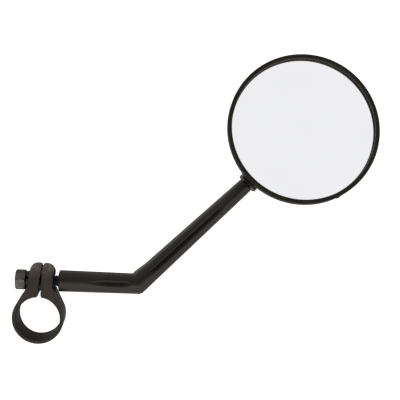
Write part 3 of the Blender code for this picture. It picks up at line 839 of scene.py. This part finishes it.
# ================================================================ hexagon nut
def nut_mesh(half):
    """Nut of this half thickness: rounded corners, 30-degree chamfers, countersunk mouths."""
    flat = 4.93 * MM  # from the axis to a flat
    corner = flat / math.cos(math.radians(30))
    outline = fillet(
        [(*polar(corner, math.radians(60 * k)), 0.45 * MM) for k in range(6)], steps=8
    )
    outline = spaced(outline, 0.22 * MM)
    face_r = flat * 0.93  # where the chamfer starts
    bore, mouth = 2.98 * MM, 3.5 * MM
    profiles = []
    for x, y in outline:
        reach = math.hypot(x, y)
        drop = max(reach - face_r, 0.0) * math.tan(math.radians(30))
        # (radius, height) from the bore over the end face and chamfer to the nut's middle.
        side = [
            (bore, half - 0.55 * MM),
            (mouth, half),
            (mouth + 0.12 * MM, half),
            (face_r - 0.16 * MM, half),
            (face_r, half - 0.015 * MM),
            (face_r + 0.14 * MM, half - 0.075 * MM),
            (face_r + (reach - face_r) * 0.55, half - drop * 0.55),
            (face_r + (reach - face_r) * 0.88, half - drop * 0.88),
            (reach - 0.012 * MM, half - drop - 0.02 * MM),
            (reach, half - drop - 0.07 * MM),
            (reach, half * 0.4),
            (reach, 0.0),
        ]
        whole = side + [(radius, -z) for radius, z in reversed(side[:-1])]
        profiles.append([(radius * (x / reach), radius * (y / reach), z) for radius, z in whole])
    verts = [vert for profile in profiles for vert in profile]
    return to_mesh("nut", verts, ring_faces(len(profiles), len(profiles[0]), close_rows=True))


low_x, high_x = x_range("hex_nut")
# A corner of the hexagon faces forward and 12 degrees up.
nut_turn = Matrix.Rotation(math.radians(-12), 4, "X") @ TO_X
nut_turn = nut_turn @ Matrix.Rotation(math.radians(90), 4, "Z")
finish_piece(
    nut_mesh((high_x - low_x) / 2),
    "hexagon_nut",
    mat=BLACK_ZINC,
    matrix=BOLT_M @ Matrix.Translation(((low_x + high_x) / 2 + NUT_SHIFT, 0, 0)) @ nut_turn,
    body="nut",
    replaces="hex_nut",
    slot="black_zinc",
    sharp=24,
)


# ================================================================ threaded stud
def thread(low, high):
    """A helical thread with tapered ends, along Z from low to high."""
    pitch, per_pitch, around = 1.0 * MM, 14, 72
    crest_r, root_r = 2.93 * MM, 2.36 * MM
    end_r, end_slope = 2.25 * MM, 1.1
    rows = int((high - low) / pitch * per_pitch)
    verts = []
    for i in range(rows + 1):
        z = low + (high - low) * i / rows
        for k in range(around):
            phase = (z / pitch - k / around) % 1.0
            wave = abs(phase * 2 - 1)  # 0 at the root's middle, 1 at the crest
            height = min(max((wave - 0.16) / 0.66, 0.0), 1.0)
            radius = root_r + (crest_r - root_r) * height
            radius = min(radius, end_r + min(z - low, high - z) * end_slope)
            verts.append((*polar(radius, 2 * math.pi * k / around), z))
    return verts, ring_faces(rows + 1, around) + end_faces(rows + 1, around)


low_x, high_x = x_range("clamp_stud")
new_piece(
    "threaded_stud",
    *thread(low_x + NUT_SHIFT, high_x),
    mat=THREAD_STEEL,
    matrix=BOLT_M @ TO_X,
    body="stud",
    replaces="clamp_stud",
    slot="black_zinc",
    sharp=50,
)

# ================================================================ arm
# Two tapering round legs joined at a mitred bend, with a shallow groove along each broad face.
LEG1_R, BEND_R, LEG2_R = 5.44 * MM, 5.20 * MM, 3.96 * MM
ARM_STEPS = 216
MITRE_REACH = 3.2 * MM  # how far the bend's sheared sections reach along each leg
BEND_FILL = 0.5 * MM  # extra depth on the inside of the bend
GROOVE = 0.50 * MM
LIP = 0.05 * MM  # rounding of the groove's edges
LEAN1, LEAN2 = math.radians(10.5), math.radians(9.0)  # the grooves' turn downwards, per leg


def leg1_radius(along):
    return LEG1_R + (BEND_R - LEG1_R) * along / LEG1_LENGTH


def leg2_radius(along):
    return BEND_R + (LEG2_R - BEND_R) * along / LEG2_LENGTH


def spoon(along, start, deepest, end, tail):
    """Depth, 0 to 1, of a hollow that starts shallow and ends in a short round tip."""
    if along <= start or along >= end:
        return 0.0
    rise = eased((along - start) / (deepest - start))
    left = (end - along) / tail
    return rise * math.sqrt(max(0.0, 1 - (1 - min(left, 1.0)) ** 2))


def smooth_min(a, b, blend):
    overlap = max(blend - abs(a - b), 0.0) / blend
    return min(a, b) - overlap * overlap * blend * 0.25


def groove(across, radius, depth):
    """The groove's height over the arm's axis: a dished floor, steeper on its upper side."""
    floor = radius - depth + across * across / (16 * MM)
    top = 0.24 * radius
    wall = math.sqrt(radius**2 - top**2) - (top - across) * 0.53
    return -smooth_min(-floor, -wall, 0.10 * MM)


def arm_section(radius, depth=0.0, lean=0.0):
    """(up, sideways) points round the arm."""
    points = []
    for k in range(ARM_STEPS):
        angle = 2 * math.pi * k / ARM_STEPS
        size = radius
        if depth > 0:
            for middle, sense in ((math.pi / 2 + lean, -1), (3 * math.pi / 2 - lean, 1)):
                off = turn_from(angle, middle)
                if abs(off) < 0.9:
                    # The ray at this angle is brought onto the groove's surface step by step.
                    cut = radius
                    for _ in range(6):
                        across = cut * math.sin(off) * sense
                        cut = groove(across, radius, depth) / math.cos(off)
                    size = smooth_min(radius, cut, LIP)
        points.append(polar(size, angle))
    return points


def inner_fill(up, share):
    return max(0.0, up / BEND_R) ** 1.5 * share * BEND_FILL


def arm_rings():
    """Rings of points from inside the first leg's mouth to the bottom of the ball's socket."""
    rings = []
    side, up1 = Vector((0, 1, 0)), Vector((0, 0, 1))
    up2 = Vector((-math.sin(BEND), 0, math.cos(BEND)))
    bend = Vector((BEND_X, 0, 0))
    bisector = Vector((-math.sin(BEND / 2), 0, math.cos(BEND / 2)))
    mitre = math.tan(BEND / 2)
    plain = arm_section(BEND_R)
    end_ease1, end_ease2 = 0.45 * MM, 0.5 * MM

    def on_leg1(along, section):
        centre = Vector((ARM_FACE_X + along, 0, 0))
        rings.append([centre + up1 * u + side * v for u, v in section])

    def on_leg2(along, section):
        centre = bend + LEG2 * along
        rings.append([centre + up2 * u + side * v for u, v in section])

    # The pocket for the insert and its countersunk mouth: radius and distance inside the face.
    for radius, inside in ((3.05, 12.5), (3.05, 1.2), (3.15, 0.45), (3.55, 0.0)):
        on_leg1(inside * MM, arm_section(radius * MM))
    for k in range(7):
        angle = math.radians(15 * k)
        radius = LEG1_R - end_ease1 * (1 - math.sin(angle))
        on_leg1(end_ease1 * (1 - math.cos(angle)), arm_section(radius))
    count = 90
    straight_end = LEG1_LENGTH - MITRE_REACH
    for k in range(1, count + 1):
        along = end_ease1 + (straight_end - end_ease1) * k / count
        shape = spoon(along, start=12.0 * MM, deepest=26.5 * MM, end=36.2 * MM, tail=6.5 * MM)
        on_leg1(along, arm_section(leg1_radius(along), GROOVE * shape, LEAN1))

    # Sections shear from square to the bisecting plane, then back, over a short length.
    shears = (0.35, 0.6, 0.8, 0.92)
    for share in shears:
        ring = []
        for u, v in plain:
            start, target = BEND_X - MITRE_REACH, BEND_X - u * mitre
            x = start + (target - start) * share - inner_fill(u, share) / math.sin(BEND)
            ring.append(Vector((x, 0, 0)) + up1 * u + side * v)
        rings.append(ring)
    # On the bisecting plane the outer corner is pulled in towards the inside of the bend.
    ring = []
    for u, v in plain:
        pull = 0.11 * BEND_R * max(0.0, -u / BEND_R) ** 1.5
        point = bend + Vector((-u * mitre, 0, u)) + side * v
        fill = Vector((inner_fill(u, 1.0) / math.sin(BEND), 0, 0))
        ring.append(point + bisector * pull - fill)
    rings.append(ring)
    for share in reversed(shears):
        ring = []
        for u, v in plain:
            along = MITRE_REACH + (u * mitre - MITRE_REACH) * share
            ring.append(bend + LEG2 * along + up2 * (u + inner_fill(u, 1.0)) + side * v)
        rings.append(ring)

    count = 150
    straight_end = LEG2_LENGTH - end_ease2
    for k in range(count + 1):
        along = MITRE_REACH + (straight_end - MITRE_REACH) * k / count
        shape = spoon(along, start=3.2 * MM, deepest=12.5 * MM, end=59.0 * MM, tail=7.5 * MM)
        fade = 1 - eased((along - MITRE_REACH) / (8.0 * MM))
        section = arm_section(leg2_radius(along), GROOVE * shape, LEAN2)
        on_leg2(along, [(u + inner_fill(u, fade), v) for u, v in section])
    for k in range(1, 7):
        angle = math.radians(15 * k)
        radius = LEG2_R - end_ease2 * (1 - math.cos(angle))
        on_leg2(LEG2_LENGTH - end_ease2 * (1 - math.sin(angle)), arm_section(radius))
    # The hole for the ball stud: radius and distance inside the end face.
    for radius, inside in ((1.75, 0.0), (1.66, 0.5), (1.66, 10.4)):
        on_leg2(LEG2_LENGTH - inside * MM, arm_section(radius * MM))
    return rings


def mark_hollow(mesh):
    """Stores how deep each point lies below the plain bar, 0 to 1."""
    hollow = mesh.attributes.new("hollow", "FLOAT", "POINT")
    to_arm = ARM_M.inverted()
    for vertex, value in zip(mesh.vertices, hollow.data):
        place = to_arm @ vertex.co
        from_bend = place - Vector((BEND_X, 0, 0))
        along = from_bend.dot(LEG2)
        if along + from_bend.x > 0:
            plain = leg2_radius(along)
            radius = (from_bend - LEG2 * along).length
            inside = MITRE_REACH < along < LEG2_LENGTH - 2 * MM
        else:
            plain = leg1_radius(place.x - ARM_FACE_X)
            radius = math.hypot(place.y, place.z)
            inside = ARM_FACE_X + 2 * MM < place.x < BEND_X - 3.1 * MM
        value.value = min(max((plain - radius) / GROOVE, 0.0), 1.0) if inside else 0.0


rings = arm_rings()
arm = new_piece(
    "bent_arm",
    [vert for ring in rings for vert in ring],
    ring_faces(len(rings), ARM_STEPS) + end_faces(len(rings), ARM_STEPS),
    mat=ARM_PLASTIC,
    matrix=ARM_M,
    body="arm",
    replaces="arm_bar",
    slot="arm_plastic",
    sharp=50,
)
mark_hollow(arm.data)


# ================================================================ ball stud
def ball_profile():
    """(radius, height) from the ball's top down its neck to the stud's eased end."""
    ball_r, neck = 2.75 * MM, 1.6 * MM
    ease = 0.4 * MM
    meet = math.acos(neck / ball_r)
    points = [(0.0, ball_r)]
    for k in range(1, 41):
        points.append(polar(ball_r, math.pi / 2 - (math.pi / 2 + meet) * k / 40))
    end = -BALL_TO_ARM - 9.8 * MM
    points += [(neck, -3.2 * MM), (neck, -5.2 * MM), (neck, end + ease)]
    return points + [(neck - ease, end), (0.0, end)]


new_piece(
    "ball_stud_turned",
    *revolve(ball_profile(), 96),
    mat=THREAD_STEEL,
    matrix=BALL_M,
    body="arm",
    replaces="ball_stud",
    slot="steel",
    sharp=40,
)

# ================================================================ head
RIM_R, SIGHT_R, GLASS_R = 39.4 * MM, 37.1 * MM, 37.85 * MM
JOIN_R = 38.7 * MM  # the bezel's step and the housing's lip share this radius
GLASS_AT = 2.9 * MM  # the glass's front edge behind the bezel's front plane
GLASS_THICK = 2.3 * MM
FRONT_OFFSET = 11.0 * MM  # the bezel's front plane before the head's origin


def depth(behind):
    """Head depth of a place this far behind the bezel's front plane."""
    return behind - FRONT_OFFSET


def bezel():
    """The front ring, with a low raised block on its outer edge."""
    # (radius, distance behind the front plane, corner rounding)
    outline = fillet(
        [
            (SIGHT_R - 0.02 * MM, 2.6 * MM, 0.08 * MM),
            (JOIN_R, 2.6 * MM, 0.05 * MM),
            (JOIN_R, 4.62 * MM, 0.05 * MM),
            (RIM_R - 0.02 * MM, 4.62 * MM, 0.18 * MM),
            (RIM_R, 1.0 * MM, 0.6 * MM),
            (RIM_R - 0.45 * MM, 0.08 * MM, 0.5 * MM),
            (38.5 * MM, 0.0, 2.0 * MM),
            (SIGHT_R + 0.1 * MM, 0.22 * MM, 0.28 * MM),
        ],
        steps=6,
    )
    outline = spaced(outline, 0.8 * MM)
    # The block's direction is given in the arm's frame and turned into the head's.
    x, z = polar(1.0, math.radians(-62.0))
    local = HEAD_M.to_3x3().inverted() @ (ARM_M.to_3x3() @ Vector((x, 0, z)))
    centre = math.atan2(-local.z, local.x)
    # Even steps round the ring, with finer ones at the block.
    even = [2 * math.pi * k / 288 for k in range(288)]
    angles = [a for a in even if abs(turn_from(a, centre)) > math.radians(3.3)]
    angles += [centre + math.radians(0.12 * i) for i in range(-26, 27)]
    block_height = 0.42 * MM
    verts = []
    angles = sorted(a % (2 * math.pi) for a in angles)
    for angle in angles:
        along = abs(turn_from(angle, centre)) * RIM_R
        width = 1 - eased((along - 0.7 * MM) / (0.7 * MM))
        for radius, behind in outline:
            push = 0.0
            if radius > RIM_R - 0.3 * MM and width > 0:
                band = eased((behind - 1.2 * MM) / (0.4 * MM))
                band *= eased((3.4 * MM - behind) / (0.4 * MM))
                push = block_height * width * band
            verts.append((*polar(radius + push, angle), depth(behind)))
    return verts, ring_faces(len(angles), len(outline), close_rows=True)


new_piece(
    "bezel_moulded",
    *bezel(),
    mat=BEZEL_PLASTIC,
    matrix=HEAD_Y,
    body="head",
    replaces="bezel_ring",
    slot="head_plastic",
    sharp=40,
)


def glass_profile():
    """A slightly convex disc: its middle stands before its edge."""
    curve = 600 * MM
    bulge = GLASS_R * GLASS_R / (2 * curve)
    count = 36

    def face(reach, behind):
        radii = [reach * k / count for k in range(count + 1)]
        return [(r, depth(behind - bulge + r * r / (2 * curve))) for r in radii]

    back_at = GLASS_AT + GLASS_THICK
    edge = [(GLASS_R, depth(GLASS_AT + 0.3 * MM)), (GLASS_R, depth(back_at - 0.15 * MM))]
    front = face(GLASS_R - 0.3 * MM, GLASS_AT)
    return front + edge + face(GLASS_R - 0.15 * MM, back_at)[::-1]


glass = new_piece(
    "mirror_glass_disc",
    *revolve(glass_profile(), 256),
    mat=MIRROR,
    matrix=HEAD_Y,
    body="head",
    replaces="mirror_glass",
    slot="mirror",
    sharp=30,
    extra=[GLASS_EDGE],
)
# The faces round the rim take the ground edge's material.
to_head = HEAD_Y.inverted()
for polygon in glass.data.polygons:
    centre = to_head @ polygon.center
    if math.hypot(centre.x, centre.y) > GLASS_R - 0.28 * MM:
        polygon.material_index = 1

# The seal: a thin upright band round the glass.
SEAL_OUTER, SEAL_INNER = 38.5 * MM, 38.05 * MM
SEAL_FRONT, SEAL_BACK = depth(2.9 * MM), depth(5.3 * MM)
seal_section = fillet(
    [
        (SEAL_OUTER, SEAL_BACK, 0.1 * MM),
        (SEAL_OUTER, SEAL_FRONT, 0.1 * MM),
        (SEAL_INNER, SEAL_FRONT, 0.1 * MM),
        (SEAL_INNER, SEAL_BACK, 0.1 * MM),
    ],
    steps=3,
)
new_piece(
    "glass_seal_strip",
    *revolve(seal_section, 192),
    mat=RUBBER,
    matrix=HEAD_Y,
    body="head",
    replaces="glass_seal",
    slot="rubber",
    sharp=50,
)


# ---------------------------------------------------------------- housing with its socket rib
def housing_skin(top, rounding, sweep_degrees, steps):
    """A shallow dome out to its rim, then an arc that turns towards the front."""
    dome_r, drop, count = 35.2 * MM, 1.3 * MM, 24
    points = []
    for k in range(count + 1):
        radius = dome_r * k / count
        points.append((radius, top - drop * (radius / dome_r) ** 2))
    for k in range(1, steps + 1):
        cos, sin = polar(1.0, math.radians(sweep_degrees * k / steps))
        points.append((dome_r + rounding * sin, top - drop - rounding * (1 - cos)))
    return points


def housing_outline():
    outer = housing_skin(top=12.4 * MM, rounding=3.2 * MM, sweep_degrees=84, steps=12)
    inner = housing_skin(top=10.9 * MM, rounding=1.7 * MM, sweep_degrees=80, steps=6)
    # (radius, distance behind the front plane)
    lip = [
        (39.15 * MM, 5.1 * MM),
        (39.05 * MM, 4.95 * MM),
        (JOIN_R, 4.95 * MM),
        (JOIN_R, 5.55 * MM),
        (37.5 * MM, 5.55 * MM),
        (36.9 * MM, 8.2 * MM),
    ]
    return [(radius, depth(behind)) for radius, behind in outer + lip + inner[::-1]]


def rib_mesh():
    """Half-round rib along the head's Z axis with a rounded inner end."""
    rib_r, round_from, round_length = 5.35 * MM, -31.0 * MM, 4.0 * MM
    # (z, share of the full section)
    rows = [(-42.0 * MM, 1.0), (-36.0 * MM, 1.0), (round_from, 1.0)]
    for k in range(9):
        cos, sin = polar(1.0, math.radians(10 * k))
        rows.append((round_from + round_length * sin, cos**0.5))
    columns = 49
    verts = []
    for z, share in rows:
        for k in range(columns):
            cos, sin = polar(1.0, math.pi * k / (columns - 1))
            x = rib_r * cos * (0.35 + 0.65 * share)
            verts.append((x, rib_r * sin * share - 0.35 * MM * (1 - sin), z))
    faces = ring_faces(len(rows), columns) + end_faces(len(rows), columns)
    return to_mesh("rib", verts, faces)


def screw_pair(name, operation, radius, low, high):
    """A cylinder along Y at each of the two retainer screws."""
    tools = []
    for sign in (-1, 1):
        matrix = Matrix.Translation((sign * 7.3 * MM, 0, -32.4 * MM)) @ TO_Y
        post = cylinder(f"{name}{sign}", radius, low, high, matrix, steps=40)
        tools.append((operation, post))
    return tools


def housing_mesh():
    base = add_object("housing_base", to_mesh("housing_base", *revolve(housing_outline(), 192)))
    base.data.transform(TO_Y)
    rib = add_object("rib", rib_mesh())
    trim = cylinder("rib_trim", 39.32 * MM, -20 * MM, 20 * MM, TO_Y, steps=256)
    rib = add_object("rib", combine(rib, [("INTERSECT", trim)]))
    tools = [("UNION", rib)]
    tools += screw_pair("column", "UNION", 2.3 * MM, -2.9 * MM, 0.0)
    socket = cylinder("socket", 4.65 * MM, -45 * MM, -27.8 * MM, IDENTITY, steps=72)
    tools.append(("DIFFERENCE", socket))
    tools += screw_pair("pilot", "DIFFERENCE", 1.3 * MM, -5.5 * MM, -0.35 * MM)
    return combine(base, tools)


finish_piece(
    housing_mesh(),
    "rear_housing",
    mat=HOUSING_PLASTIC,
    matrix=HEAD_M,
    body="head",
    replaces="head_housing",
    slot="head_plastic",
    sharp=32,
)


# ---------------------------------------------------------------- collar between rim and arm
def collar():
    """A round collar with a central hole, its two faces curved to follow the rim."""
    inner, outer = 39.55 * MM, 40.08 * MM  # distances of the two faces from the head's centre
    hole, step, edge = 2.65 * MM, 4.82 * MM, 5.5 * MM
    ease = 0.22 * MM
    # (radius, share of the way from the inner face to the outer)
    profile = [(hole + (step - hole) * k / 6, 0.0) for k in range(7)]
    profile += [(4.86 * MM, -0.3), (4.86 * MM, -1.8), (4.95 * MM, -1.95), (5.4 * MM, -1.95)]
    profile += [(edge, share) for share in (-1.8, -0.8, -0.2, 0.25, 0.5, 0.75)]
    for k in range(5, 0, -1):
        cos, sin = polar(1.0, math.radians(90 * k / 6))
        profile.append((edge - ease + ease * sin, 1 - (1 - cos) * 0.22))
    profile += [(hole + (edge - ease - hole) * k / 6, 1.0) for k in range(6, -1, -1)]
    flat, faces = revolve(profile, 120)
    verts = []
    for x, y, share in flat:
        z_in, z_out = -math.sqrt(inner**2 - x * x), -math.sqrt(outer**2 - x * x)
        verts.append((x, y, z_in + (z_out - z_in) * share))
    return verts, faces


new_piece(
    "rim_collar",
    *collar(),
    mat=HEAD_PLASTIC,
    matrix=HEAD_M,
    body="head",
    replaces="socket_collar",
    slot="rubber",
    sharp=50,
)

# ================================================================ carried-over nodes: finish only
for name, mat in (
    ("threaded_insert", BRASS),
    ("ball_seat_inner", ACETAL),
    ("ball_seat_outer", ACETAL),
    ("socket_retainer", ACETAL),
    ("retainer_screw_1", BRIGHT_STEEL),
    ("retainer_screw_2", BRIGHT_STEEL),
    ("friction_spring", BRIGHT_STEEL),
    ("foam_pad", FOAM),
):
    mesh = frame["nodes"][name].data
    mesh.materials.clear()
    mesh.materials.append(mat)

# ================================================================ floor
FLOOR_HALF = 30.0
# The mirror hangs on a handlebar, so the sheet lies below the lowest place the head can swing to.
FLOOR_DROP = 0.130
# The sheet's glow as each kind of ray sees it; glossy rays see the front and back apart.
FLOOR_CAMERA, FLOOR_DIFFUSE, FLOOR_MIRRORED = 0.86, 0.35, 0.62
FLOOR_BACK, FLOOR_FRONT = 0.15, 0.80


def floor_material():
    """Even pale paper to the eye, brighter in front than behind in the plastic's reflections."""
    nodes = Nodes("pale_floor")
    grain = nodes.noise(scale=400.0, detail=3.0, rough=0.6)
    incoming = nodes.add("ShaderNodeNewGeometry").outputs["Incoming"]
    towards = nodes.add("ShaderNodeSeparateXYZ", Vector=incoming).outputs["Y"]
    glossy = nodes.span(towards, over=(-0.25, 0.75), to=(FLOOR_BACK, FLOOR_FRONT))
    glow = nodes.by_ray(
        camera=FLOOR_CAMERA, diffuse=FLOOR_DIFFUSE, glossy=glossy, singular=FLOOR_MIRRORED
    )
    shades = ((0.38, 0.38, 0.38), (0.40, 0.40, 0.40))
    mat = nodes.finish(
        Emission_Strength=glow,
        Emission_Color=(1, 1, 1),
        Base_Color=nodes.ramp(grain, over=(0.3, 0.7), colours=shades),
        Roughness=0.9,
        Specular_IOR_Level=0.0,
    )
    mat.cycles.emission_sampling = "NONE"
    return mat


floor_mesh = bpy.data.meshes.new("floor")
floor_z = cad_low[2] - FLOOR_DROP
floor_corners = [
    (x * FLOOR_HALF, y * FLOOR_HALF, floor_z) for x, y in ((-1, -1), (1, -1), (1, 1), (-1, 1))
]
floor_mesh.from_pydata(floor_corners, [], [(0, 1, 2, 3)])
add_object("floor", floor_mesh)
floor_mesh.materials.append(floor_material())

# ================================================================ world light
SKY_LOW, SKY_HIGH = 0.07, 0.20  # glossy rays' sky at the horizon and overhead
# Soft round lights seen by glossy rays: direction, inner and outer degrees, strength.
PATCHES = (
    ((-0.70, 0.52, 0.49), 14, 36, 1.1),
    ((-0.30, -0.15, 0.94), 8, 34, 0.25),
    ((0.75, 0.40, 0.52), 8, 28, 0.45),
    ((0.30, 0.62, 0.75), 10, 32, 0.8),
    ((-0.61, -0.51, 0.60), 4, 11, 0.5),
)


class Sky(Nodes):
    """The world's node tree."""

    def __init__(self, world):
        world.use_nodes = True
        self.tree = world.node_tree
        self.shader = self.tree.nodes["Background"]
        incoming = self.add("ShaderNodeNewGeometry").outputs["Incoming"]
        flip = self.add("ShaderNodeVectorMath", operation="SCALE", Vector=incoming, Scale=-1.0)
        self.coords = flip.outputs["Vector"]
        self.z = self.add("ShaderNodeSeparateXYZ", Vector=self.coords).outputs["Z"]

    def with_patch(self, light, direction, inner, outer, strength):
        """Adds a soft light: full within inner degrees of the direction, gone at outer."""
        facing = self.dot(self.coords, Vector(direction).normalized())
        patch = self.span(
            facing,
            over=(math.cos(math.radians(outer)), math.cos(math.radians(inner))),
            to=(0.0, strength),
            interpolation_type="SMOOTHSTEP",
        )
        return self.maths("ADD", light, patch)


world = bpy.data.worlds.new("studio")
bpy.context.scene.world = world
world.cycles.sampling_method = "NONE"
sky = Sky(world)
glossy = sky.span(sky.z, over=(0.0, 1.0), to=(SKY_LOW, SKY_HIGH))
for patch in PATCHES:
    glossy = sky.with_patch(glossy, *patch)
diffuse = sky.span(sky.z, over=(-0.1, 0.9), to=(0.55, 1.05))
diffuse = sky.with_patch(
    diffuse, direction=(-0.6, -0.35, 0.72), inner=15, outer=60, strength=0.5
)
mirrored = sky.span(sky.z, over=(-0.05, 0.35), to=(0.80, 1.0))
strength = sky.by_ray(camera=1.0, diffuse=diffuse, glossy=glossy, singular=mirrored)
sky.put(sky.shader.inputs["Strength"], strength)
sky.put(sky.shader.inputs["Color"], (1, 1, 1))

# ================================================================ camera
ELEVATION, AZIMUTH, ROLL = (math.radians(degrees) for degrees in (10.8, -1.0, 2.48))
DISTANCE = 0.523
TARGET = Vector((0.07914, 0.0065, 0.07506))

camera_data = bpy.data.cameras.new("camera")
camera_data.sensor_width = 36.0
camera_data.lens = 94.437
camera_data.clip_start = 0.01
camera = add_object("camera", camera_data)
cos_az, sin_az = polar(1.0, AZIMUTH)
cos_el, sin_el = polar(1.0, ELEVATION)
cos_roll, sin_roll = polar(1.0, ROLL)
back = Vector((sin_az * cos_el, -cos_az * cos_el, sin_el))
level_right = Vector((cos_az, sin_az, 0))
level_up = back.cross(level_right)
right = level_right * cos_roll + level_up * sin_roll
up = level_up * cos_roll - level_right * sin_roll
camera.matrix_world = basis(right, up, back, TARGET + back * DISTANCE)
scene = bpy.context.scene
scene.camera = camera
scene.view_settings.view_transform = "Standard"
scene.view_settings.look = "None"
